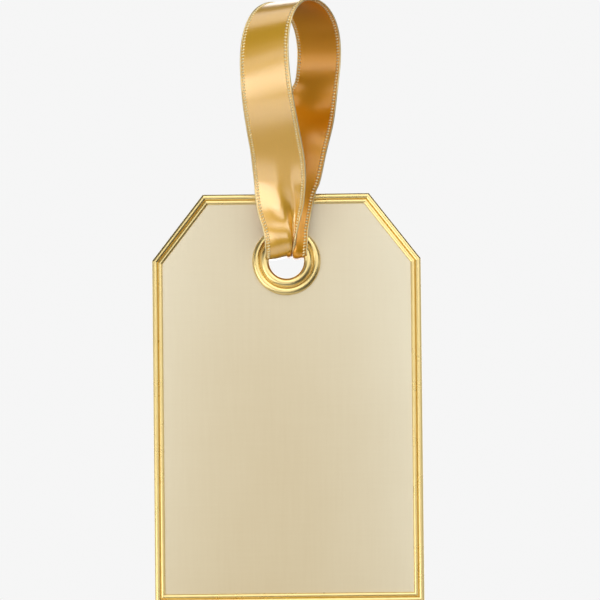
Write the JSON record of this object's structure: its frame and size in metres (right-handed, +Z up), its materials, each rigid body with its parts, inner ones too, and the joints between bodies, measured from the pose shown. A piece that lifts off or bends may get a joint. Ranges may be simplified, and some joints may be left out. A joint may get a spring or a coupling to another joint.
{
  "type": "gift tag",
  "caption": "Champagne gift tag with cut top corners, a beaded gold metal rim and a gold eyelet, hung by a folded satin ribbon loop knotted behind it.",
  "frame": {"origin": "the hang point, on the inner side of the ribbon loop's crest", "axes": "+Z up, the tag's face looks along -Y, +X to the right as the face is seen"},
  "size_m": [0.046, 0.03, 0.102],
  "materials": {
    "pearl_paper": "pearl",
    "grey_board": "matt",
    "gold_metal": "polished",
    "satin": "satin",
    "metallic_cord": "metallic"
  },
  "bodies": {
    "ribbon": {"ribbon_loop": "satin", "ribbon_edge_left": "metallic_cord", "ribbon_edge_right": "metallic_cord"},
    "knot": {"ribbon_bend": "satin", "ribbon_throat": "satin", "ribbon_knot": "satin", "ribbon_tail_left": "satin", "ribbon_tail_right": "satin"},
    "tag": {"front_sheet": "pearl_paper", "core_board": "grey_board", "back_sheet": "pearl_paper", "metal_rim": "gold_metal", "eyelet": "gold_metal", "eyelet_washer": "gold_metal"}
  },
  "joints": [
    {"name": "tag_nod", "type": "hinge", "parent": "ribbon", "child": "knot", "pos_m": [-0.0015, 0.01355, -0.0392], "axis": [1, 0, 0], "range_deg": [-100, 0], "deforming": ["ribbon_bend"]},
    {"name": "tag_turn", "type": "hinge", "parent": "knot", "child": "tag", "pos_m": [-0.0015, 0.01475, -0.04295], "axis": [0, 1, 0], "continuous": true}
  ]
}
